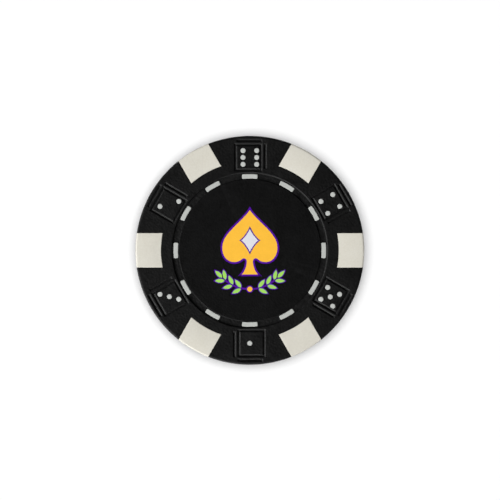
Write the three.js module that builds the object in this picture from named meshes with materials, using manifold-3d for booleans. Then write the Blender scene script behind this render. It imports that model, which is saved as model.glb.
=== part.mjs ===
// Gaming chip: a black moulded body round a steel weight, with cream edge spots, engraved dice,
// white pips and dashes, and a round label on each face. Millimetres, +Z up, lying flat on z = 0.
import * as THREE from 'three';
import { mergeVertices } from 'three/addons/utils/BufferGeometryUtils.js';
import Module from 'manifold-3d';

// Overall size
const chipDiameter = 39;
const chipThickness = 3.3;
const rimRound = 0.4; // rounding where the faces meet the edge
const seam = 0.03; // gap between the body and what is moulded into it

// Label recess on each face
const recessDepth = 0.26;
const recessDraft = 0.15; // how far the recess wall leans
const labelThickness = 0.12;
const labelGap = 0.07; // between the label and the dashes
const adhesiveFilm = 0.03; // under the label

// Dashes in the ring round the label
const dashWidth = 0.78; // across the ring
const dashLength = 2.67; // along the ring
const dashCorner = 0.24;
const dashGap = 0.16; // to the recess wall
const dashSeat = 0.2; // depth below the recess floor
const dashRise = 0.14; // height above the recess floor

// Steel weight, and the pins that hold it while the body is moulded
const skinThickness = 0.42; // plastic above and below the weight
const slugWall = 0.46; // plastic round its edge
const slugChamfer = 0.2;
const locatorCount = 3;
const locatorRadius = 0.9;
const locatorInset = 3.5; // from the label's edge to the pin holes' middles

// Edge spots, with hidden ears that key them into the body
const spotWidth = 5.84;
const spotDepth = 4.36; // from the edge towards the middle
const earReach = 0.8; // beyond the spot's sides
const earCover = 0.95; // plastic over and under the ears
const earInset = 0.5; // from the spot's inner end
const earSetback = 1.5; // from the chip's edge

// Dice engraved between the spots: a square frame, and two bars that show the die's depth
const frameSize = 4.3; // between the middles of opposite grooves
const frameShift = -0.28; // sideways from the die's axis, clockwise positive
const grooveWidth = 0.4;
const grooveDepth = 0.2;
const grooveFlank = 0.15; // how far each groove wall leans
const barGap = 0.75; // from the middle of the frame's groove to the bar's
const barExtra = 0.1; // how much longer a bar is than the frame
const barSlip = 0.2; // how far the bars sit along from the frame
const barMargin = 0.05; // between a bar's corner and the rounded rim
const innerLand = 0.15; // between the frame and the recess

// Pips, moulded right through so that each shows on both faces
const pipDiameter = 0.88;
const pipPitch = 1.17;
const pipShift = 0.01; // sideways from the die's axis, clockwise positive
const pipSink = 0.03; // below the face

// The dice anticlockwise from the one after the first spot, and where a die's pips lie:
// steps of the pitch clockwise and outward from the die's middle
const diceRound = [4, 6, 2, 3, 1, 5];
const pipLayouts = {
  1: [[0, 0]],
  2: [[-1, 1], [1, -1]],
  3: [[1, 1], [0, 0], [-1, -1]],
  4: [[-1, 1], [1, 1], [-1, -1], [1, -1]],
  5: [[-1, 1], [1, 1], [0, 0], [-1, -1], [1, -1]],
  6: [[-1, 1], [1, 1], [-1, 0], [1, 0], [-1, -1], [1, -1]],
};

// Facets
const chipFacets = 72;
const pipFacets = 16;
const curveSteps = 2; // on small arcs
const squareSides = 4;

// Places worked out from the sizes, from the edge inwards
const chipRadius = chipDiameter / 2;
const flatRadius = chipRadius - rimRound;
const barLength = frameSize + barExtra;
const barReach = barLength / 2 + Math.abs(frameShift + barSlip);
const barLine = Math.sqrt((flatRadius - barMargin) ** 2 - barReach ** 2) - grooveWidth / 2;
const barOffset = barGap + frameSize / 2; // from the die's middle
const dieRadius = barLine - barOffset;
const recessRadius = dieRadius - frameSize / 2 - grooveWidth / 2 - innerLand;
const recessFoot = recessRadius - recessDraft;
const dashOuter = recessFoot - dashGap;
const dashInner = dashOuter - dashWidth;
const labelRadius = dashInner - labelGap;
const spotInner = chipRadius - spotDepth;
const pipRadius = pipDiameter / 2;
const slugRadius = Math.min(dieRadius - pipPitch - pipRadius, spotInner) - slugWall;

// Heights
const middle = chipThickness / 2;
const recessFloor = chipThickness - recessDepth;
const slugThickness = chipThickness - 2 * (recessDepth + skinThickness + seam);
const dashLow = recessFloor - dashSeat;
const dashHigh = recessFloor + dashRise;
const labelLow = recessFloor + adhesiveFilm;
const labelHigh = labelLow + labelThickness;
const overrun = chipThickness; // how far cutters run past the chip

// Angles: a spot and a die take turns, and a dash stands opposite each
const spotCount = diceRound.length;
const dashCount = 2 * spotCount;
const turns = (count) => Array.from({ length: count }, (_, i) => (i * 2 * Math.PI) / count);
const spotTurns = turns(spotCount);
const dashTurns = turns(dashCount);
const dieTurns = spotTurns.map((turn) => turn + Math.PI / spotCount);

const wasm = await Module();
wasm.setup();

// A geometry with its shared corners merged, ready to be joined, cut or mirrored
function closed(geometry) {
  geometry.deleteAttribute('normal');
  geometry.deleteAttribute('uv');
  return mergeVertices(geometry);
}

function solid(geometry) {
  const merged = closed(geometry);
  return new wasm.Manifold(new wasm.Mesh({
    numProp: 3,
    vertProperties: merged.attributes.position.array,
    triVerts: Uint32Array.from(merged.index.array),
  }));
}

function geometryOf(body) {
  const mesh = body.getMesh();
  const geometry = new THREE.BufferGeometry();
  geometry.setAttribute('position', new THREE.BufferAttribute(mesh.vertProperties, mesh.numProp));
  geometry.setIndex(new THREE.BufferAttribute(mesh.triVerts, 1));
  return geometry;
}

// The same form on the back: mirrored in the chip's middle plane, with its faces turned out again
function onBack(geometry) {
  const form = closed(geometry.clone());
  form.translate(0, 0, -middle).scale(1, 1, -1).translate(0, 0, middle);
  const corners = form.index.array;
  for (let i = 0; i < corners.length; i += 3) {
    [corners[i], corners[i + 1]] = [corners[i + 1], corners[i]];
  }
  return form;
}

// A form turned about Z, from a profile of radius and height
function turned(profile, facets) {
  return new THREE.LatheGeometry(profile, facets).rotateX(Math.PI / 2);
}

function upright(radius, low, high, facets) {
  return new THREE.CylinderGeometry(radius, radius, high - low, facets)
    .rotateX(Math.PI / 2)
    .translate(0, 0, (low + high) / 2);
}

function prism(outline, low, high) {
  const settings = { depth: high - low, bevelEnabled: false, curveSegments: curveSteps };
  return new THREE.ExtrudeGeometry(outline, settings).translate(0, 0, low);
}

// The whole chip without grooves or inserts
function blank() {
  const profile = new THREE.Path();
  profile.moveTo(0, recessDepth);
  profile.lineTo(recessFoot, recessDepth);
  profile.lineTo(recessRadius, 0);
  profile.lineTo(flatRadius, 0);
  profile.absarc(flatRadius, rimRound, rimRound, -Math.PI / 2, 0);
  profile.lineTo(chipRadius, chipThickness - rimRound);
  profile.absarc(flatRadius, chipThickness - rimRound, rimRound, 0, Math.PI / 2);
  profile.lineTo(recessRadius, chipThickness);
  profile.lineTo(recessFoot, recessFloor);
  profile.lineTo(0, recessFloor);
  return solid(turned(profile.getPoints(curveSteps), chipFacets));
}

// The steel weight, grown by a gap for its hollow in the body
function slugForm(grow) {
  const radius = slugRadius + grow;
  const low = middle - slugThickness / 2 - grow;
  const high = middle + slugThickness / 2 + grow;
  const profile = [
    [0, low],
    [radius - slugChamfer, low],
    [radius, low + slugChamfer],
    [radius, high - slugChamfer],
    [radius - slugChamfer, high],
    [0, high],
  ];
  return turned(profile.map((point) => new THREE.Vector2(...point)), chipFacets);
}

// An edge spot along +X, not yet trimmed to the chip's edge, grown by a gap for its seat
function spotForm(grow, turn = 0) {
  const half = spotWidth / 2 + grow;
  const inner = spotInner - grow;
  const outer = chipRadius + overrun;
  const tilt = Math.asin(half / inner);
  const outline = new THREE.Shape();
  outline.moveTo(inner * Math.cos(tilt), -half);
  outline.lineTo(outer, -half);
  outline.lineTo(outer, half);
  outline.lineTo(inner * Math.cos(tilt), half);
  outline.absarc(0, 0, inner, tilt, -tilt, true);
  const earLow = spotInner + earInset - grow;
  const earHigh = chipRadius - earSetback + grow;
  const earThickness = chipThickness - 2 * earCover + 2 * grow;
  const ears = new THREE.BoxGeometry(earHigh - earLow, 2 * (half + earReach), earThickness)
    .translate((earLow + earHigh) / 2, 0, middle);
  const block = prism(outline, -overrun, chipThickness + overrun);
  return solid(block.rotateZ(turn)).add(solid(ears.rotateZ(turn)));
}

// A dash on the ring at +X with round corners, grown by a gap for its seat
function dashForm(low, high, grow) {
  const inner = dashInner - grow;
  const outer = dashOuter + grow;
  const corner = dashCorner + grow;
  const half = (dashLength / 2 + grow) / ((inner + outer) / 2);
  const outerTurn = half - corner / outer;
  const innerTurn = half - corner / inner;
  const at = (radius, angle) => [radius * Math.cos(angle), radius * Math.sin(angle)];
  const outline = new THREE.Shape();
  outline.moveTo(...at(outer, -outerTurn));
  outline.absarc(0, 0, outer, -outerTurn, outerTurn);
  outline.quadraticCurveTo(...at(outer, half), ...at(outer - corner, half));
  outline.lineTo(...at(inner + corner, half));
  outline.quadraticCurveTo(...at(inner, half), ...at(inner, innerTurn));
  outline.absarc(0, 0, inner, innerTurn, -innerTurn, true);
  outline.quadraticCurveTo(...at(inner, -half), ...at(inner + corner, -half));
  outline.lineTo(...at(outer - corner, -half));
  outline.quadraticCurveTo(...at(outer, -half), ...at(outer, -outerTurn));
  return prism(outline, low, high);
}

// Section of a groove: across it, and height from the face, reaching as far above as below
function grooveSection() {
  const over = grooveWidth / 2 + grooveFlank;
  const bottom = grooveWidth / 2 - grooveFlank;
  return [[-over, grooveDepth], [-bottom, -grooveDepth], [bottom, -grooveDepth], [over, grooveDepth]];
}

// The die's square frame: the groove's section turned in four sides
function frameGroove() {
  const ring = grooveSection().map(([across, height]) => new THREE.Vector2(
    (frameSize / 2 + across) / Math.cos(Math.PI / squareSides), height,
  ));
  return turned([...ring, ring[0]], squareSides).rotateZ(Math.PI / squareSides);
}

// A straight groove along +X
function barGroove() {
  const section = new THREE.Shape(grooveSection().map((point) => new THREE.Vector2(...point)));
  return prism(section, -barLength / 2, barLength / 2).rotateX(Math.PI / 2).rotateZ(Math.PI / 2);
}

// A die's grooves on the front, made with the die at +Y and then turned to its place
function dieGrooves(turn) {
  return [
    frameGroove().translate(frameShift, dieRadius, chipThickness),
    barGroove().translate(frameShift + barSlip, dieRadius + barOffset, chipThickness),
    barGroove().rotateZ(Math.PI / 2)
      .translate(frameShift + barOffset, dieRadius + barSlip, chipThickness),
  ].map((groove) => groove.rotateZ(turn - Math.PI / 2));
}

// Middles of the pips of one die
function pipPlaces(pips, turn) {
  const up = new THREE.Vector3(0, 0, 1);
  return pipLayouts[pips].map(([across, out]) => new THREE.Vector3(
    pipShift + across * pipPitch, dieRadius + out * pipPitch, 0,
  ).applyAxisAngle(up, turn - Math.PI / 2));
}

function chipBody() {
  const pipHole = (place) => upright(pipRadius + seam, -overrun, chipThickness + overrun, pipFacets)
    .translate(place.x, place.y, 0);
  const locatorHole = (turn) => upright(locatorRadius, middle, chipThickness, pipFacets)
    .translate(labelRadius - locatorInset, 0, 0).rotateZ(turn);
  const dashHole = (turn) => dashForm(dashLow - seam, chipThickness, seam).rotateZ(turn);
  const frontCuts = [
    ...dashTurns.map(dashHole),
    ...turns(locatorCount).map(locatorHole),
    ...dieTurns.flatMap(dieGrooves),
  ];
  const cuts = [
    slugForm(seam),
    ...diceRound.flatMap((pips, i) => pipPlaces(pips, dieTurns[i]).map(pipHole)),
    ...frontCuts.map(onBack),
    ...frontCuts,
  ].map(solid);
  cuts.push(...spotTurns.map((turn) => spotForm(seam, turn)));
  return geometryOf(cuts.reduce((body, cut) => body.subtract(cut), blank()));
}

const blackPlastic = { color: 0x19191a, roughness: 0.55, metalness: 0 };
const creamPlastic = { color: 0xd5d2c7, roughness: 0.5, metalness: 0 };
const whitePlastic = { color: 0xc8cac6, roughness: 0.55, metalness: 0 };
const labelFilm = { color: 0x151516, roughness: 0.65, metalness: 0 };
const platedSteel = { color: 0x9a9c9e, roughness: 0.4, metalness: 1 };

const chip = new THREE.Group();

function place(name, geometry, finish) {
  const mesh = new THREE.Mesh(geometry, new THREE.MeshStandardMaterial(finish));
  mesh.name = name;
  chip.add(mesh);
  return mesh;
}

place('chip_body', chipBody(), blackPlastic);
place('steel_slug', slugForm(0), platedSteel);

spotTurns.forEach((turn, i) => {
  const spot = geometryOf(blank().intersect(spotForm(0)));
  place(`edge_spot_${i + 1}`, spot, creamPlastic).rotation.z = turn;
});

const label = upright(labelRadius, labelLow, labelHigh, chipFacets);
place('front_label', label, labelFilm);
place('back_label', onBack(label), labelFilm);

dashTurns.forEach((turn, i) => {
  const number = String(i + 1).padStart(2, '0');
  const dash = dashForm(dashLow, dashHigh, 0);
  place(`front_dash_${number}`, dash, whitePlastic).rotation.z = turn;
  place(`back_dash_${number}`, onBack(dash), whitePlastic).rotation.z = turn;
});

diceRound.forEach((pips, i) => {
  pipPlaces(pips, dieTurns[i]).forEach((middleOfPip, j) => {
    const peg = upright(pipRadius, pipSink, chipThickness - pipSink, pipFacets);
    place(`die${pips}_pip_${j + 1}`, peg, whitePlastic).position.copy(middleOfPip);
  });
});

export default chip;
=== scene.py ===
import math

import bmesh
import bpy
from mathutils import Matrix, Vector
from mathutils.geometry import interpolate_bezier


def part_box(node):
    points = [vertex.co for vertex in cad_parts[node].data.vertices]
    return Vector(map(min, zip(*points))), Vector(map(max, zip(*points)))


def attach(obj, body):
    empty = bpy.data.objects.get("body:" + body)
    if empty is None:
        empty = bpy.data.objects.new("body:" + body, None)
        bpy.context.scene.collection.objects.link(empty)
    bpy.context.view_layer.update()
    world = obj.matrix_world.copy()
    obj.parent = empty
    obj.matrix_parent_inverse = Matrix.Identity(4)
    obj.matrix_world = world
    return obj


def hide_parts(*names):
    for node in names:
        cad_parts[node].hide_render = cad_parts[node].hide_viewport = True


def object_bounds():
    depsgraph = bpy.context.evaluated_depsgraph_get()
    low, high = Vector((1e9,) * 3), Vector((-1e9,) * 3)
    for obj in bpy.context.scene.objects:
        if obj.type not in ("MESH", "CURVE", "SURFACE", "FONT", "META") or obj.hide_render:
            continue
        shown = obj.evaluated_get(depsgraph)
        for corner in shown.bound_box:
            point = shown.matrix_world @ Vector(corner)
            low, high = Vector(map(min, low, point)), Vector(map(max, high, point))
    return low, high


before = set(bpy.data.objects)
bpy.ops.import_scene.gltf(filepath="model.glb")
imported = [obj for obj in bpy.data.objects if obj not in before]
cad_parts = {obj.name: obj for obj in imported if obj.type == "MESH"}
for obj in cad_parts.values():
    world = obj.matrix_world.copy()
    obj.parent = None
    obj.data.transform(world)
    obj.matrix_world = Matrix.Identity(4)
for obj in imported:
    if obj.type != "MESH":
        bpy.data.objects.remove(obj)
cadLow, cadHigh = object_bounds()
print("frame:", len(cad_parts), "nodes, box", tuple(cadLow), tuple(cadHigh))

mm = 0.001  # the pieces are modelled in millimetres, and the frame is in metres
tiny = 1e-4
tinyTurn = 1e-5
fullTurn = 2 * math.pi
upAxis = (0, 0, 1)
centrePoint = (0, 0, 0)
flatLean = 0.9999  # a face whose normal stands more upright than this is flat
creaseTurn = math.radians(35)  # sharper edges keep their crease
cornerTurn = math.radians(40)  # sharper edges of spots and pips are eased

# the chip lies on z = 0, and its back is the front mirrored in the middle plane
chipRadius = cadHigh.x / mm
chipTop = cadHigh.z / mm
midHeight = chipTop / 2
sideCount = 6
spotStep = fullTurn / sideCount


# small helpers for the modelling


def boxOf(node):
    low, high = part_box(node)
    return low / mm, high / mm


def nodeCentre(node):
    low, high = boxOf(node)
    return (low + high) / 2


def addChain(bm, points):
    verts = [bm.verts.new((across, 0, height)) for across, height in points]
    edges = [bm.edges.new(pair) for pair in zip(verts, verts[1:])]
    return verts + edges


def turnVerts(bm, verts, angle):
    bmesh.ops.rotate(bm, verts=verts, cent=centrePoint, matrix=Matrix.Rotation(angle, 3, "Z"))


def turnAll(bm, angle):
    turnVerts(bm, bm.verts, angle)


def sweepRound(bm, geom, angle, steps, **options):
    bmesh.ops.spin(bm, geom=geom, cent=centrePoint, axis=upAxis, angle=angle, steps=steps, **options)


def fillFlat(bm, edges):
    bmesh.ops.triangle_fill(bm, edges=edges, use_beauty=True, normal=upAxis)


def everything(bm):
    return bm.verts[:] + bm.edges[:] + bm.faces[:]


def wallOn(bm, height):
    # open edges that lie at one height
    return [e for e in bm.edges if e.is_boundary and all(abs(v.co.z - height) < tiny for v in e.verts)]


def foldToBack(bm):
    # the half above the middle plane becomes the whole
    bmesh.ops.translate(bm, verts=bm.verts, vec=(0, 0, -midHeight))
    bmesh.ops.mirror(bm, geom=everything(bm), axis="Z", merge_dist=tiny)
    bmesh.ops.translate(bm, verts=bm.verts, vec=(0, 0, midHeight))


def closeUp(bm):
    bmesh.ops.remove_doubles(bm, verts=bm.verts, dist=tiny)
    bmesh.ops.recalc_face_normals(bm, faces=bm.faces)


def flipOver(bm):
    # turns a front piece over on to the back face
    bmesh.ops.scale(bm, verts=bm.verts, vec=(1, 1, -1))
    bmesh.ops.translate(bm, verts=bm.verts, vec=(0, 0, chipTop))
    bmesh.ops.reverse_faces(bm, faces=bm.faces)


def sharpEdges(bm, leastTurn):
    return [e for e in bm.edges if len(e.link_faces) == 2 and e.calc_face_angle() > leastTurn]


def shade(bm):
    # flat faces stay flat, the rest is smooth up to its corners
    for face in bm.faces:
        face.smooth = abs(face.normal.z) < flatLean
    for edge in sharpEdges(bm, creaseTurn):
        edge.smooth = False


def shadeSmooth(bm):
    for face in bm.faces:
        face.smooth = True


def joinMesh(bm, part):
    # moves a part's geometry into another mesh
    mesh = bpy.data.meshes.new("part")
    part.to_mesh(mesh)
    part.free()
    bm.from_mesh(mesh)
    bpy.data.meshes.remove(mesh)


def newVerts(result):
    return [g for g in result["geom"] if isinstance(g, bmesh.types.BMVert)]


def easeEdges(bm, edges, size, steps):
    bmesh.ops.bevel(
        bm, geom=edges, offset=size, offset_type="OFFSET", segments=steps, profile=0.5,
        affect="EDGES", material=-1, clamp_overlap=True,
    )


def addPiece(bm, name, materials, nodes):
    openEdges = sum(1 for e in bm.edges if len(e.link_faces) != 2)
    bmesh.ops.scale(bm, verts=bm.verts, vec=(mm, mm, mm))
    mesh = bpy.data.meshes.new(name)
    bm.to_mesh(mesh)
    faces = len(bm.faces)
    bm.free()
    for material in materials:
        mesh.materials.append(material)
    piece = bpy.data.objects.new(name, mesh)
    bpy.context.scene.collection.objects.link(piece)
    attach(piece, "root")
    if nodes:
        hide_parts(*nodes)
    print("piece:", name, faces, "faces,", openEdges, "open edges")
    return piece


# finishes


def addNode(tree, kind, **values):
    node = tree.nodes.new(kind)
    for key, value in values.items():
        if hasattr(node, key):
            setattr(node, key, value)
        else:
            node.inputs[key.replace("_", " ")].default_value = value
    return node


def newGroup(name, inputs, outputs):
    tree = bpy.data.node_groups.new(name, "ShaderNodeTree")
    for label, value in inputs.items():
        socket = tree.interface.new_socket(name=label, in_out="INPUT", socket_type="NodeSocketFloat")
        socket.default_value = value
    for label in outputs:
        tree.interface.new_socket(name=label, in_out="OUTPUT", socket_type="NodeSocketFloat")
    return tree, tree.nodes.new("NodeGroupInput"), tree.nodes.new("NodeGroupOutput")


def textureScale(tree, size):
    # from a feature's size in millimetres
    scale = addNode(tree, "ShaderNodeMath", operation="DIVIDE")
    scale.inputs[0].default_value = 1 / mm
    tree.links.new(size, scale.inputs[1])
    return scale.outputs["Value"]


def stretched(tree, value, span):
    # part of a value's range becomes the whole of 0 to 1
    spread = addNode(tree, "ShaderNodeMapRange", From_Min=span[0], From_Max=span[1])
    tree.links.new(value, spread.inputs["Value"])
    return spread.outputs["Result"]


grainSet = dict(
    pitSize=0.16,
    pitSmoothness=0.6,
    pitShare=0.7,
    speckDetail=3.0,
    speckRoughness=0.62,
    speckSpan=(0.35, 0.65),
    speckShare=0.6,
    blotchSize=2.5,
    blotchDetail=4.0,
    blotchRoughness=0.55,
    blotchSpan=(0.32, 0.68),
)


def makeGrain():
    # spark-eroded mould texture: fine pits over a slow blotch
    tree, source, result = newGroup(
        "mouldGrain", {"Pit Size": grainSet["pitSize"], "Blotch Size": grainSet["blotchSize"]},
        ["Height", "Blotch", "Tone"],
    )
    where = addNode(tree, "ShaderNodeTexCoord")
    pitScale = textureScale(tree, source.outputs["Pit Size"])
    blotchScale = textureScale(tree, source.outputs["Blotch Size"])
    pits = addNode(
        tree, "ShaderNodeTexVoronoi", feature="SMOOTH_F1", Smoothness=grainSet["pitSmoothness"],
    )
    rough = addNode(
        tree, "ShaderNodeTexNoise", Detail=grainSet["speckDetail"], Roughness=grainSet["speckRoughness"],
    )
    blotch = addNode(
        tree, "ShaderNodeTexNoise", Detail=grainSet["blotchDetail"], Roughness=grainSet["blotchRoughness"],
    )
    for texture, scale in ((pits, pitScale), (rough, pitScale), (blotch, blotchScale)):
        tree.links.new(where.outputs["Object"], texture.inputs["Vector"])
        tree.links.new(scale, texture.inputs["Scale"])
    both = addNode(tree, "ShaderNodeMath", operation="MULTIPLY_ADD")
    both.inputs[1].default_value = grainSet["pitShare"]
    tree.links.new(pits.outputs["Distance"], both.inputs[0])
    tree.links.new(rough.outputs["Fac"], both.inputs[2])
    patches = stretched(tree, blotch.outputs["Fac"], grainSet["blotchSpan"])
    specks = stretched(tree, rough.outputs["Fac"], grainSet["speckSpan"])
    tone = addNode(tree, "ShaderNodeMix", data_type="FLOAT", Factor=grainSet["speckShare"])
    tree.links.new(patches, tone.inputs["A"])
    tree.links.new(specks, tone.inputs["B"])
    tree.links.new(both.outputs["Value"], result.inputs["Height"])
    tree.links.new(patches, result.inputs["Blotch"])
    tree.links.new(tone.outputs["Result"], result.inputs["Tone"])
    return tree


handlingSet = dict(
    edgeStart=0.515,
    edgeFull=0.6,
    patchScale=0.9 / mm,
    patchDetail=5.0,
    patchRoughness=0.65,
    patchSpan=(0.38, 0.66),
    scuffTurn=math.radians(35),
    scuffScale=(2.2 / mm, 0.12 / mm, 1 / mm),
    scuffDetail=2.0,
    scuffRoughness=0.5,
    scuffSpan=(0.66, 0.78),
)


def makeHandling():
    # rubbed edges and a few stray scuffs
    tree, source, result = newGroup(
        "handlingMarks", {"Edge Start": handlingSet["edgeStart"], "Edge Full": handlingSet["edgeFull"]},
        ["Rub", "Scuff"],
    )
    where = addNode(tree, "ShaderNodeTexCoord")
    shape = addNode(tree, "ShaderNodeNewGeometry")
    edge = addNode(tree, "ShaderNodeMapRange")
    tree.links.new(shape.outputs["Pointiness"], edge.inputs["Value"])
    tree.links.new(source.outputs["Edge Start"], edge.inputs["From Min"])
    tree.links.new(source.outputs["Edge Full"], edge.inputs["From Max"])
    breakUp = addNode(
        tree, "ShaderNodeTexNoise", Scale=handlingSet["patchScale"], Detail=handlingSet["patchDetail"],
        Roughness=handlingSet["patchRoughness"],
    )
    tree.links.new(where.outputs["Object"], breakUp.inputs["Vector"])
    rub = addNode(tree, "ShaderNodeMath", operation="MULTIPLY")
    tree.links.new(edge.outputs["Result"], rub.inputs[0])
    tree.links.new(stretched(tree, breakUp.outputs["Fac"], handlingSet["patchSpan"]), rub.inputs[1])
    # scuffs: drawn-out noise, kept only at its peaks
    drawnOut = addNode(tree, "ShaderNodeMapping", vector_type="POINT")
    drawnOut.inputs["Rotation"].default_value = (0, 0, handlingSet["scuffTurn"])
    drawnOut.inputs["Scale"].default_value = handlingSet["scuffScale"]
    tree.links.new(where.outputs["Object"], drawnOut.inputs["Vector"])
    streak = addNode(
        tree, "ShaderNodeTexNoise", Scale=1.0, Detail=handlingSet["scuffDetail"],
        Roughness=handlingSet["scuffRoughness"],
    )
    tree.links.new(drawnOut.outputs["Vector"], streak.inputs["Vector"])
    peaks = stretched(tree, streak.outputs["Fac"], handlingSet["scuffSpan"])
    tree.links.new(rub.outputs["Value"], result.inputs["Rub"])
    tree.links.new(peaks, result.inputs["Scuff"])
    return tree


grainGroup = makeGrain()
handlingGroup = makeHandling()


def useGroup(tree, group, **values):
    node = tree.nodes.new("ShaderNodeGroup")
    node.node_tree = group
    for key, value in values.items():
        node.inputs[key.replace("_", " ")].default_value = value
    return node


def mixColours(tree, factor, first, second):
    # a colour or a link for each side
    mix = addNode(tree, "ShaderNodeMix", data_type="RGBA")
    tree.links.new(factor, mix.inputs["Factor"])
    for socket, colour in (("A", first), ("B", second)):
        place = next(s for s in mix.inputs if s.name == socket and s.type == "RGBA")
        if isinstance(colour, tuple):
            place.default_value = colour
        else:
            tree.links.new(colour, place)
    return next(s for s in mix.outputs if s.type == "RGBA")


def scaled(tree, value, low, high):
    span = addNode(tree, "ShaderNodeMapRange", To_Min=low, To_Max=high)
    tree.links.new(value, span.inputs["Value"])
    return span.outputs["Result"]


def newMaterial(name):
    material = bpy.data.materials.new(name)
    material.use_nodes = True
    return material, material.node_tree.nodes["Principled BSDF"]


def addRelief(tree, skin, grain, look):
    bump = addNode(tree, "ShaderNodeBump", Strength=look["bump"], Distance=look["relief"])
    tree.links.new(grain.outputs["Height"], bump.inputs["Height"])
    tree.links.new(bump.outputs["Normal"], skin.inputs["Normal"])


def moulded(name, look):
    # one moulded plastic: tone, grain, rubbed edges and scuffs
    material, skin = newMaterial(name)
    tree = material.node_tree
    skin.inputs["Specular IOR Level"].default_value = look["gloss"]
    grain = useGroup(tree, grainGroup, Pit_Size=look["pit"], Blotch_Size=look["blotch"])
    marks = useGroup(tree, handlingGroup)
    tone = mixColours(tree, grain.outputs["Tone"], look["deep"], look["light"])
    rubbed = mixColours(tree, scaled(tree, marks.outputs["Rub"], 0, look["rub"]), tone, look["worn"])
    scuffed = mixColours(tree, scaled(tree, marks.outputs["Scuff"], 0, look["scuff"]), rubbed, look["worn"])
    tree.links.new(scuffed, skin.inputs["Base Color"])
    tree.links.new(scaled(tree, grain.outputs["Tone"], *look["roughness"]), skin.inputs["Roughness"])
    addRelief(tree, skin, grain, look)
    return material


blackLook = dict(
    deep=(0.0004, 0.0004, 0.0004, 1), light=(0.0036, 0.0036, 0.0036, 1), worn=(0.02, 0.02, 0.02, 1),
    gloss=0.22, roughness=(0.49, 0.65), pit=0.36, blotch=2.2, bump=0.8, relief=0.062 * mm,
    rub=0.15, scuff=0.12,
)
blackPlastic = moulded("blackPlastic", blackLook)
# painted light: the sunk ring's black is a little lighter than the rim's, standing in for light that the
# rim's wall keeps off the ring
ringPlasticPaintedLight = moulded("ringPlasticPaintedLight", dict(  # the sunk ring's mould texture is coarser
    blackLook, light=(0.0044, 0.0044, 0.0044, 1), gloss=0.29, roughness=(0.46, 0.65), pit=0.42, blotch=1.6,
    relief=0.08 * mm,
))
creamPlastic = moulded("creamPlastic", dict(
    deep=(0.612, 0.587, 0.508, 1), light=(0.672, 0.652, 0.582, 1), worn=(0.56, 0.54, 0.48, 1),
    gloss=0.42, roughness=(0.35, 0.47), pit=0.3, blotch=2.8, bump=0.3, relief=0.01 * mm,
    rub=0.3, scuff=0.25,
))
whiteLook = dict(
    deep=(0.45, 0.462, 0.445, 1), light=(0.535, 0.548, 0.525, 1), worn=(0.41, 0.41, 0.39, 1),
    gloss=0.3, roughness=(0.45, 0.58), pit=0.2, blotch=0.9, bump=0.35, relief=0.01 * mm,
    rub=0.3, scuff=0.2,
)
whitePlastic = moulded("whitePlastic", whiteLook)
greyPlastic = moulded("greyPlastic", dict(  # the dashes are a little greyer than the pips
    whiteLook, deep=(0.415, 0.428, 0.408, 1), light=(0.495, 0.51, 0.485, 1), worn=(0.37, 0.37, 0.35, 1),
    blotch=0.7, bump=0.4, relief=0.012 * mm,
))
labelFilm = moulded("labelFilm", dict(
    deep=(0.0005, 0.0005, 0.0005, 1), light=(0.0033, 0.0033, 0.0034, 1), worn=(0.02, 0.02, 0.021, 1),
    gloss=0.12, roughness=(0.55, 0.71), pit=0.3, blotch=3.5, bump=0.7, relief=0.055 * mm,
    rub=0.2, scuff=0.1,
))


inkSet = dict(
    amber=(0.95, 0.51, 0.045, 1),
    violet=(0.075, 0.0, 0.31, 1),
    leaf=(0.35, 0.69, 0.117, 1),
    pearl=(0.73, 0.73, 0.78, 1),
)
inkLook = dict(
    gloss=0.25, roughness=(0.45, 0.55), pit=0.14, blotch=1.2, bump=0.25, relief=0.006 * mm,
    rub=0.2, scuff=0.15,
)
thinInk = 0.9


def ink(name, colour):
    # printed ink: a little thinner in places, so that the film greys it
    thin = tuple(channel * thinInk for channel in colour[:3]) + (1,)
    return moulded(name, dict(inkLook, deep=thin, light=colour, worn=thin))


inkMaterials = {name: ink(name + "Ink", colour) for name, colour in inkSet.items()}

steelSet = dict(
    deep=(0.5, 0.51, 0.52, 1), light=(0.6, 0.61, 0.62, 1), lines=(0.38, 0.38, 0.38, 1), lineShare=0.5,
    roughness=(0.32, 0.48), pit=0.4, blotch=3.0, bump=0.3, relief=0.01 * mm,
)


def zincSteel():
    # a punched and plated disc, with the faint lines of the rolled strip
    material, skin = newMaterial("zincSteel")
    tree = material.node_tree
    skin.inputs["Metallic"].default_value = 1.0
    grain = useGroup(tree, grainGroup, Pit_Size=steelSet["pit"], Blotch_Size=steelSet["blotch"])
    marks = useGroup(tree, handlingGroup)
    tone = mixColours(tree, grain.outputs["Blotch"], steelSet["deep"], steelSet["light"])
    strength = scaled(tree, marks.outputs["Scuff"], 0, steelSet["lineShare"])
    tree.links.new(mixColours(tree, strength, tone, steelSet["lines"]), skin.inputs["Base Color"])
    tree.links.new(scaled(tree, grain.outputs["Blotch"], *steelSet["roughness"]), skin.inputs["Roughness"])
    addRelief(tree, skin, grain, steelSet)
    return material


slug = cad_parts["steel_slug"]
slug.data.materials.clear()
slug.data.materials.append(zincSteel())
print("finishes:", len(bpy.data.materials), "materials")


# black body

spotSet = dict(width=5.84, inner=15.14, overrun=math.radians(2), ease=0.045, easeSteps=3)
bodySet = dict(
    rimRound=0.36,
    roundSteps=8,
    arcStep=math.radians(0.5),
    seam=0.015,
    notchStart=math.radians(6),  # the rim starts within the notch and is cut back to its side
    recessEdge=13.36,
    recessFoot=13.1,
    recessFloor=chipTop - 0.26,
    recessSteps=10,
    hollowGap=0.03,
    hollowFacets=96,
)
flatEdge = chipRadius - bodySet["rimRound"]


def rimChain():
    # from the flat face round the rim to the middle plane
    size, steps = bodySet["rimRound"], bodySet["roundSteps"]
    turns = [math.pi / 2 * i / steps for i in range(steps + 1)]
    curve = [(flatEdge + size * math.sin(t), chipTop - size + size * math.cos(t)) for t in turns]
    return curve + [(chipRadius, midHeight)]


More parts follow.
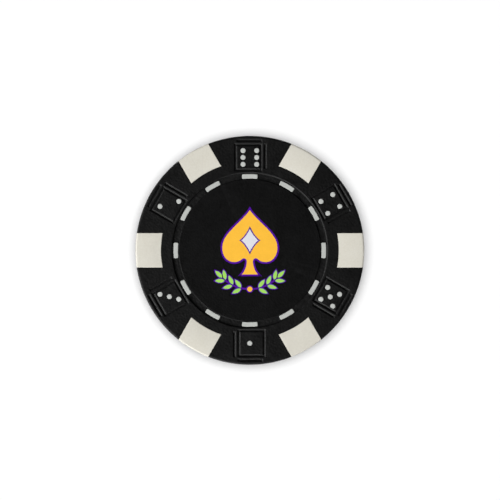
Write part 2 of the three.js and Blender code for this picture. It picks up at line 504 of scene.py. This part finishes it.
def easedSlope(steps, soften):
    # a slope from 0 to 1 that is gentler at both ends
    shares = [i / steps for i in range(steps + 1)]
    return [(s, s - soften * math.sin(fullTurn * s) / fullTurn) for s in shares]


def roundedSlope(steps):
    # a slope from 0 to 1 that is sharp at its foot and levels out at its top
    shares = [i / steps for i in range(steps + 1)]
    return [(s, 1 - (1 - s) ** 2) for s in shares]


def arcSteps(angle):
    return max(1, round(abs(angle) / bodySet["arcStep"]))


def addRim(bm):
    # half a sector, from the middle of a spot's notch to the middle of the next die
    half = spotSet["width"] / 2 + bodySet["seam"]
    inner = spotSet["inner"] - bodySet["seam"]
    reach = spotStep / 2 - bodySet["notchStart"]
    chain = addChain(bm, rimChain())
    turnAll(bm, spotStep / 2)
    sweepRound(bm, chain, -reach, arcSteps(reach))
    bmesh.ops.bisect_plane(
        bm, geom=everything(bm), dist=tiny, plane_co=(0, half, 0), plane_no=(0, -1, 0), clear_outer=True,
    )
    side = [v for v in bm.verts if abs(v.co.y - half) < tiny]
    tilt = math.asin(half / inner)
    corner = [bm.verts.new((inner * math.cos(tilt), half, z)) for z in (chipTop, midHeight)]
    post = bm.edges.new(corner)
    bmesh.ops.contextual_create(bm, geom=side + corner)
    sweepRound(bm, corner + [post], -tilt, arcSteps(tilt))
    # the other half of the sector, then all six
    turnAll(bm, -spotStep / 2)
    bmesh.ops.mirror(bm, geom=everything(bm), axis="Y", merge_dist=tiny)
    copies = sideCount - 1
    sweepRound(bm, everything(bm), spotStep * copies, copies, use_duplicate=True)
    turnAll(bm, spotStep / 2)


def addRecess(bm):
    # soft wall between the rim's flat face and the sunk floor
    low, rise = bodySet["recessFloor"], chipTop - bodySet["recessFloor"]
    foot, reach = bodySet["recessFoot"], bodySet["recessEdge"] - bodySet["recessFoot"]
    curve = roundedSlope(bodySet["recessSteps"])
    wall = [(foot + reach * along, low + rise * up) for along, up in curve]
    sweepRound(bm, addChain(bm, wall), fullTurn, arcSteps(fullTurn), use_merge=True)


# engraved dice, laid out at the top of the chip: x runs clockwise, y outwards

grooveSet = dict(width=0.56, flank=0.25, depth=0.16, soften=0.2, flankSteps=5)
dieSet = dict(
    size=4.3,
    shift=-0.28,
    barGap=0.75,
    barLength=4.4,
    barSlip=0.2,
    pipGap=0.01,
    pipFacets=32,
)
dieRadius = -nodeCentre("die1_pip_1").y
diePips = [4, 6, 2, 3, 1, 5]  # anticlockwise from the upper right


def addGroove(bm, centre, size, whole):
    # a plate at the top, set in step by step down one flank and, for a frame, up the other
    place = Matrix.Translation((*centre, chipTop)) @ Matrix.Diagonal((*size, 1, 1))
    plate = bmesh.ops.create_grid(bm, x_segments=1, y_segments=1, size=0.5, matrix=place)["verts"]
    face = plate[0].link_faces[0]
    flank, depth = grooveSet["flank"], grooveSet["depth"]
    curve = easedSlope(grooveSet["flankSteps"], grooveSet["soften"])
    down = [((b[0] - a[0]) * flank, (a[1] - b[1]) * depth) for a, b in zip(curve, curve[1:])]
    bottom = [(grooveSet["width"] - 2 * flank, 0)]
    up = [(inset, -drop) for inset, drop in reversed(down)]
    for inset, drop in down + bottom + up if whole else down:
        bmesh.ops.inset_region(
            bm, faces=[face], thickness=inset, depth=drop, use_boundary=True, use_even_offset=True,
        )
    return face


def addDie(bm, turn, pips):
    # the die is made by itself, then turned to its place
    die = bmesh.new()
    halfSize = dieSet["size"] / 2
    outer = dieSet["size"] + grooveSet["width"]
    face = addGroove(die, (dieSet["shift"], dieRadius), (outer, outer), True)
    bmesh.ops.delete(die, geom=[face], context="FACES_ONLY")
    innerEdges = [
        e for e in wallOn(die, chipTop)
        if all(max(abs(v.co.x - dieSet["shift"]), abs(v.co.y - dieRadius)) < halfSize for v in e.verts)
    ]
    back = Matrix.Rotation(math.pi / 2 - turn, 3, "Z")
    for pip in pips:
        spot = back @ nodeCentre(pip)
        low, high = boxOf(pip)
        hole = bmesh.ops.create_circle(
            die, segments=dieSet["pipFacets"], radius=(high.x - low.x) / 2 + dieSet["pipGap"],
            matrix=Matrix.Translation((spot.x, spot.y, chipTop)),
        )["verts"]
        rim = list({e for v in hole for e in v.link_edges})
        deep = newVerts(bmesh.ops.extrude_edge_only(die, edges=rim))
        bmesh.ops.translate(die, verts=deep, vec=(0, 0, midHeight - chipTop))
        innerEdges += rim
    fillFlat(die, innerEdges)
    barLine = halfSize + dieSet["barGap"]
    along, across = dieSet["barLength"], grooveSet["width"]
    bars = (
        ((dieSet["shift"] + dieSet["barSlip"], dieRadius + barLine), (along, across)),
        ((dieSet["shift"] + barLine, dieRadius + dieSet["barSlip"]), (across, along)),
    )
    for centre, size in bars:
        addGroove(die, centre, size, False)
    turnAll(die, turn - math.pi / 2)
    joinMesh(bm, die)


# white dashes stand in shallow pockets in the sunk floor

dashSet = dict(
    width=0.78, length=2.67, sweepSteps=16, corner=0.24, cornerSteps=5, gap=0.015, ease=0.1, easeSteps=4,
)
dashOuter = boxOf("front_dash_01")[1].x
dashCount = 12
dashStep = fullTurn / dashCount


def dashPlate(bm, height, grow):
    # a bent bar with round corners, flat at one height
    middle = dashOuter - dashSet["width"] / 2
    reach = dashSet["width"] / 2 + grow
    sweep = (dashSet["length"] + 2 * grow) / middle
    ends = [bm.verts.new((middle + side * reach, 0, height)) for side in (-1, 1)]
    edge = bm.edges.new(ends)
    turnVerts(bm, ends, -sweep / 2)
    sweepRound(bm, ends + [edge], sweep, dashSet["sweepSteps"])
    plate = bmesh.ops.dissolve_faces(bm, faces=bm.faces[:], use_verts=False)["region"][0]
    corners = [v for v in plate.verts if abs(abs(math.atan2(v.co.y, v.co.x)) - sweep / 2) < tinyTurn]
    bmesh.ops.bevel(
        bm, geom=corners, offset=dashSet["corner"], offset_type="OFFSET", segments=dashSet["cornerSteps"],
        profile=0.5, affect="VERTICES", material=-1,
    )
    return next(iter(bm.faces))


def addFloor(bm):
    seat = boxOf("front_dash_01")[0].z - dashSet["gap"]
    floorHeight = bodySet["recessFloor"]
    for number in range(dashCount):
        pocket = bmesh.new()
        plate = dashPlate(pocket, floorHeight, dashSet["gap"])
        sunk = newVerts(bmesh.ops.extrude_face_region(pocket, geom=[plate]))
        bmesh.ops.translate(pocket, verts=sunk, vec=(0, 0, seat - floorHeight))
        lid = [f for f in pocket.faces if all(v.co.z > floorHeight - tiny for v in f.verts)]
        bmesh.ops.delete(pocket, geom=lid, context="FACES_ONLY")
        turnAll(pocket, dashStep * number)
        joinMesh(bm, pocket)
    fillFlat(bm, wallOn(bm, floorHeight))


def makeBody():
    bm = bmesh.new()
    addRim(bm)
    addRecess(bm)
    for number, pipCount in enumerate(diePips):
        turn = spotStep * (number + 0.5)
        addDie(bm, turn, [f"die{pipCount}_pip_{i + 1}" for i in range(pipCount)])
    bmesh.ops.remove_doubles(bm, verts=bm.verts, dist=tiny)
    for vert in bm.verts:
        if abs(vert.co.z - chipTop) < tiny:
            vert.co.z = chipTop
    addFloor(bm)
    fillFlat(bm, wallOn(bm, chipTop))
    foldToBack(bm)
    closeUp(bm)
    # the sunk ring of each face has a finish of its own: a coarser mould texture, with a tone painted a
    # little lighter as painted light against the shade the rim's wall casts on the ring
    finishes = [blackPlastic, ringPlasticPaintedLight]
    floorHeights = (bodySet["recessFloor"], chipTop - bodySet["recessFloor"])
    for face in bm.faces:
        if any(all(abs(v.co.z - height) < tiny for v in face.verts) for height in floorHeights):
            face.material_index = finishes.index(ringPlasticPaintedLight)
    # closed hollow that the steel weight fills
    low, high = boxOf("steel_slug")
    gap = bodySet["hollowGap"]
    hollow = bmesh.ops.create_cone(
        bm, cap_ends=True, segments=bodySet["hollowFacets"], radius1=high.x + gap, radius2=high.x + gap,
        depth=high.z - low.z + 2 * gap, matrix=Matrix.Translation((0, 0, midHeight)),
    )["verts"]
    bmesh.ops.reverse_faces(bm, faces=list({f for v in hollow for f in v.link_faces}))
    shade(bm)
    return addPiece(bm, "bodyMoulding", finishes, ["chip_body"])


makeBody()


# cream edge spots


def makeSpot(number):
    bm = bmesh.new()
    half = spotSet["width"] / 2
    sweep = 2 * math.asin(half / spotSet["inner"]) + spotSet["overrun"]
    chain = addChain(bm, [(spotSet["inner"], midHeight), (spotSet["inner"], chipTop)] + rimChain())
    turnAll(bm, -sweep / 2)
    sweepRound(bm, chain, sweep, arcSteps(sweep))
    for side in (-1, 1):
        bmesh.ops.bisect_plane(
            bm, geom=everything(bm), dist=tiny, plane_co=(0, side * half, 0), plane_no=(0, side, 0),
            clear_outer=True,
        )
        cut = [v for v in bm.verts if abs(v.co.y - side * half) < tiny]
        bmesh.ops.contextual_create(bm, geom=cut)
    foldToBack(bm)
    closeUp(bm)
    easeEdges(bm, sharpEdges(bm, cornerTurn), spotSet["ease"], spotSet["easeSteps"])
    shadeSmooth(bm)
    turnAll(bm, spotStep * number)
    return addPiece(
        bm, f"spotInsert{number + 1}", [creamPlastic], [f"edge_spot_{number + 1}"],
    )


spotPieces = [makeSpot(spotNumber) for spotNumber in range(sideCount)]


# white dashes


def makeDash(face, number):
    bm = bmesh.new()
    low, high = boxOf("front_dash_01")
    plate = dashPlate(bm, high.z, 0)
    sunk = newVerts(bmesh.ops.extrude_face_region(bm, geom=[plate]))
    bmesh.ops.translate(bm, verts=sunk, vec=(0, 0, low.z - high.z))
    closeUp(bm)
    top = [e for e in bm.edges if all(abs(v.co.z - high.z) < tiny for v in e.verts)]
    easeEdges(bm, top, dashSet["ease"], dashSet["easeSteps"])
    shade(bm)
    if face == "back":
        flipOver(bm)
    turnAll(bm, dashStep * number)
    node = f"{face}_dash_{number + 1:02d}"
    return addPiece(bm, f"{face}DashBar{number + 1:02d}", [greyPlastic], [node])


for faceName in ("front", "back"):
    for dashNumber in range(dashCount):
        makeDash(faceName, dashNumber)


# white pips, one peg through the chip for each

pipSet = dict(facets=32, ease=0.07, easeSteps=3, crown=0.02, crownInset=0.14, crownShares=(0.8, 0.2))


def makePip(node):
    bm = bmesh.new()
    low, high = boxOf(node)
    radius = (high.x - low.x) / 2
    crown = pipSet["crown"]
    centre = nodeCentre(node)
    bmesh.ops.create_cone(
        bm, cap_ends=True, segments=pipSet["facets"], radius1=radius, radius2=radius,
        depth=high.z - low.z - 2 * crown, matrix=Matrix.Translation(centre),
    )
    ends = [f for f in bm.faces if len(f.verts) == pipSet["facets"]]
    for face in ends:
        for share in pipSet["crownShares"]:
            bmesh.ops.inset_region(bm, faces=[face], thickness=pipSet["crownInset"], depth=crown * share)
    easeEdges(bm, sharpEdges(bm, cornerTurn), pipSet["ease"], pipSet["easeSteps"])
    shadeSmooth(bm)
    die, pip = node.split("_pip_")
    return addPiece(bm, f"pipPeg_{die}_{pip}", [whitePlastic], [node])


for pipCount in diePips:
    for pipNumber in range(pipCount):
        makePip(f"die{pipCount}_pip_{pipNumber + 1}")


# labels

labelSet = dict(slope=0.12, drop=0.085, soften=0.3, slopeSteps=6, facets=240)


def makeLabel(face):
    bm = bmesh.new()
    low, high = boxOf("front_label")
    slope, drop = labelSet["slope"], labelSet["drop"]
    curve = easedSlope(labelSet["slopeSteps"], labelSet["soften"])
    edge = [(high.x - slope + slope * along, high.z - drop * down) for along, down in curve]
    chain = addChain(bm, [(0, high.z)] + edge + [(high.x, low.z), (0, low.z)])
    sweepRound(bm, chain, fullTurn, labelSet["facets"], use_merge=True)
    closeUp(bm)
    shade(bm)
    if face == "back":
        flipOver(bm)
    return addPiece(bm, f"{face}LabelFilm", [labelFilm], [f"{face}_label"])


for faceName in ("front", "back"):
    makeLabel(faceName)


# print on the labels: a spade with a diamond in it, over two sprigs

inkOrder = ["violet", "amber", "leaf", "pearl"]
printSet = dict(
    layer=0.01,
    curveSteps=12,
    spadeLine=0.3,
    diamondPlace=(0, 1.7),
    diamondLine=0.2,
    leafLine=0.15,
    leafPairs=3,
    leafStart=0.6,  # where a pair stands in its share of the stem
    leafLean=math.radians(40),
    sprigRadius=6.6,
    sprigWidth=0.3,
    sprigStart=math.radians(-86),
    sprigEnd=math.radians(-46),
    sprigSteps=24,
    berryRadius=0.62,
    berryFacets=40,
    berryLine=0.18,
)
# right halves: a point, then two handles and a point for each curve
spadeHalf = [
    (0, 7.5),
    (0.9, 5.4), (5.0, 3.3), (5.0, 0.5),
    (5.0, -1.3), (3.9, -2.3), (2.7, -2.3),
    (2.1, -2.3), (1.5, -2.1), (1.2, -1.75),
    (1.0, -1.55), (0.8, -1.65), (0.82, -2.0),
    (0.9, -2.9), (1.3, -3.8), (2.1, -4.4),
]
diamondHalf = [(0, 2.4), (0.4, 1.5), (1.0, 0.5), (1.8, 0), (1.0, -0.5), (0.4, -1.5), (0, -2.4)]
leafHalf = [(0, 2.1), (0.5, 1.5), (0.75, 0.5), (0, 0)]


def outlineOf(half):
    # both halves, anticlockwise
    right = []
    for start in range(0, len(half) - 3, 3):
        curve = [Vector((x, y, 0)) for x, y in half[start:start + 4]]
        right += interpolate_bezier(*curve, printSet["curveSteps"])[1 if right else 0:]
    left = [Vector((-p.x, p.y, 0)) for p in right]
    return left + [p for p in reversed(right) if p.x > tiny]


def thicken(bm, faces, layer):
    # the sheet stays on top, and its copy goes down to the film
    sunk = newVerts(bmesh.ops.extrude_face_region(bm, geom=faces))
    bmesh.ops.translate(bm, verts=sunk, vec=(0, 0, -layer))


def addMotif(bm, points, place, line, colour):
    # a filled shape with a violet line round it
    face = bm.faces.new([bm.verts.new(place @ p) for p in points])
    face.material_index = inkOrder.index(colour)
    face.normal_update()
    ring = bmesh.ops.inset_region(
        bm, faces=[face], thickness=line, use_boundary=True, use_even_offset=True,
    )["faces"]
    for part in ring:
        part.material_index = inkOrder.index("violet")
    thicken(bm, ring + [face], printSet["layer"])


def addStem(bm, height):
    reach, half = printSet["sprigRadius"], printSet["sprigWidth"] / 2
    sweep = printSet["sprigEnd"] - printSet["sprigStart"]
    part = bmesh.new()
    ends = [part.verts.new((reach + side * half, 0, height)) for side in (-1, 1)]
    edge = part.edges.new(ends)
    turnVerts(part, ends, printSet["sprigStart"])
    sweepRound(part, ends + [edge], sweep, printSet["sprigSteps"])
    thicken(part, part.faces[:], printSet["layer"] / 2)
    joinMesh(bm, part)


def addLeaf(bm, top, angle, lean):
    place = (
        Matrix.Rotation(angle, 4, "Z") @ Matrix.Translation((printSet["sprigRadius"], 0, top))
        @ Matrix.Rotation(lean, 4, "Z")
    )
    addMotif(bm, outlineOf(leafHalf), place, printSet["leafLine"], "leaf")


def addSprig(bm, top):
    # one curved stem with pairs of leaves and one at its tip
    addStem(bm, top - printSet["layer"] / 2)
    start, end, pairs = printSet["sprigStart"], printSet["sprigEnd"], printSet["leafPairs"]
    for number in range(pairs):
        angle = start + (end - start) * (number + printSet["leafStart"]) / pairs
        for side in (-1, 1):
            addLeaf(bm, top, angle, side * printSet["leafLean"])
    addLeaf(bm, top, end, 0)


def makePrint(face):
    bm = bmesh.new()
    layer = printSet["layer"]
    top = boxOf("front_label")[1].z + layer
    addSprig(bm, top)
    bmesh.ops.mirror(bm, geom=everything(bm), axis="X", merge_dist=0)
    addMotif(bm, outlineOf(spadeHalf), Matrix.Translation((0, 0, top)), printSet["spadeLine"], "amber")
    across, up = printSet["diamondPlace"]
    place = Matrix.Translation((across, up, top + layer))
    addMotif(bm, outlineOf(diamondHalf), place, printSet["diamondLine"], "pearl")
    facets = printSet["berryFacets"]
    turns = [fullTurn * i / facets for i in range(facets)]
    berry = [printSet["berryRadius"] * Vector((math.cos(t), math.sin(t), 0)) for t in turns]
    place = Matrix.Translation((0, -printSet["sprigRadius"], top))
    addMotif(bm, berry, place, printSet["berryLine"], "amber")
    bmesh.ops.recalc_face_normals(bm, faces=bm.faces)
    if face == "back":
        flipOver(bm)
    return addPiece(bm, f"{face}Print", [inkMaterials[name] for name in inkOrder], [])


for faceName in ("front", "back"):
    makePrint(faceName)


# stage, light and camera

stageSet = dict(size=4.0, drop=0.02 * mm, colour=(0.98, 0.98, 0.98, 1), gloss=0.0, roughness=0.9)
# world brightness by height above the horizon
worldStops = ((0.0, 0.02), (0.5, 0.02), (1.0, 0.04))
lampSet = dict(
    overhead=dict(
        shape="DISK", azimuth=186, elevation=86.8, distance=0.9, size=(1.1, 1.1), power=11.2,
        glossy=False, diffuse=True, lights="floor",
    ),
    keyLamp=dict(
        shape="DISK", azimuth=216, elevation=58, distance=0.9, size=(0.7, 0.7), power=11.5,
        glossy=False, diffuse=True, lights="chip",
    ),
    sideCard=dict(
        shape="RECTANGLE", azimuth=216, elevation=22, distance=0.6, size=(2.2, 0.28), power=19,
        glossy=True, diffuse=False, lights="chip",
    ),
)
cameraSet = dict(
    lens=135, sensor=36, radiusPixels=114.45, imagePixels=500, centrePixels=(249.84, 250.35),
)


def makeFloor():
    bm = bmesh.new()
    bmesh.ops.create_grid(
        bm, x_segments=1, y_segments=1, size=stageSet["size"] / 2,
        matrix=Matrix.Translation((0, 0, cadLow.z - stageSet["drop"])),
    )
    mesh = bpy.data.meshes.new("paperFloor")
    bm.to_mesh(mesh)
    bm.free()
    material, skin = newMaterial("whitePaper")
    skin.inputs["Base Color"].default_value = stageSet["colour"]
    skin.inputs["Roughness"].default_value = stageSet["roughness"]
    skin.inputs["Specular IOR Level"].default_value = stageSet["gloss"]
    mesh.materials.append(material)
    floor = bpy.data.objects.new("paperFloor", mesh)
    bpy.context.scene.collection.objects.link(floor)
    return floor


def makeWorld():
    world = bpy.data.worlds.new("studio")
    bpy.context.scene.world = world
    world.use_nodes = True
    tree = world.node_tree
    where = addNode(tree, "ShaderNodeTexCoord")
    split = addNode(tree, "ShaderNodeSeparateXYZ")
    tree.links.new(where.outputs["Generated"], split.inputs["Vector"])
    ramp = addNode(tree, "ShaderNodeValToRGB")
    stops = ramp.color_ramp.elements
    for middleStop in worldStops[1:-1]:
        stops.new(middleStop[0])
    for stop, (height, level) in zip(stops, worldStops):
        stop.position = height
        stop.color = (level, level, level, 1)
    tree.links.new(split.outputs["Z"], ramp.inputs["Fac"])
    tree.links.new(ramp.outputs["Color"], tree.nodes["Background"].inputs["Color"])


def makeLightLists(floor):
    # the floor has a lamp of its own, so that its shadow lies evenly round the chip
    lists = {}
    for name, state in (("floor", "INCLUDE"), ("chip", "EXCLUDE")):
        lists[name] = bpy.data.collections.new(name + "Lit")
        lists[name].objects.link(floor)
        lists[name].collection_objects[0].light_linking.link_state = state
    return lists


def makeLamp(name, look, lists):
    lamp = bpy.data.lights.new(name, "AREA")
    lamp.shape = look["shape"]
    lamp.size, lamp.size_y = look["size"]
    lamp.energy = look["power"]
    turn, rise = math.radians(look["azimuth"]), math.radians(look["elevation"])
    out = Vector((math.cos(turn) * math.cos(rise), math.sin(turn) * math.cos(rise), math.sin(rise)))
    holder = bpy.data.objects.new(name, lamp)
    holder.location = out * look["distance"]
    holder.rotation_euler = out.to_track_quat("Z", "Y").to_euler()
    holder.visible_glossy = look["glossy"]
    holder.visible_diffuse = look["diffuse"]
    holder.light_linking.receiver_collection = lists[look["lights"]]
    bpy.context.scene.collection.objects.link(holder)


def makeCamera():
    # straight above, far enough for the rim to have the photograph's width
    half = cameraSet["imagePixels"] / 2
    pixel = chipRadius * mm / cameraSet["radiusPixels"]
    camera = bpy.data.cameras.new("overhead")
    camera.lens = cameraSet["lens"]
    camera.sensor_width = cameraSet["sensor"]
    reach = half * pixel * cameraSet["lens"] / (cameraSet["sensor"] / 2)
    across, down = ((centre - half) * pixel for centre in cameraSet["centrePixels"])
    holder = bpy.data.objects.new("overhead", camera)
    holder.location = (-across, down, (chipTop - bodySet["rimRound"]) * mm + reach)
    bpy.context.scene.collection.objects.link(holder)
    bpy.context.scene.camera = holder


lightLists = makeLightLists(makeFloor())
makeWorld()
for lampName, lampLook in lampSet.items():
    makeLamp(lampName, lampLook, lightLists)
makeCamera()
# the pale spots throw no light on the floor, so that the shadow stays even beside them
for spotPiece in spotPieces:
    spotPiece.visible_diffuse = False
bpy.context.scene.view_settings.view_transform = "Standard"
print("stage: floor, world,", len(lampSet), "lamps and camera")
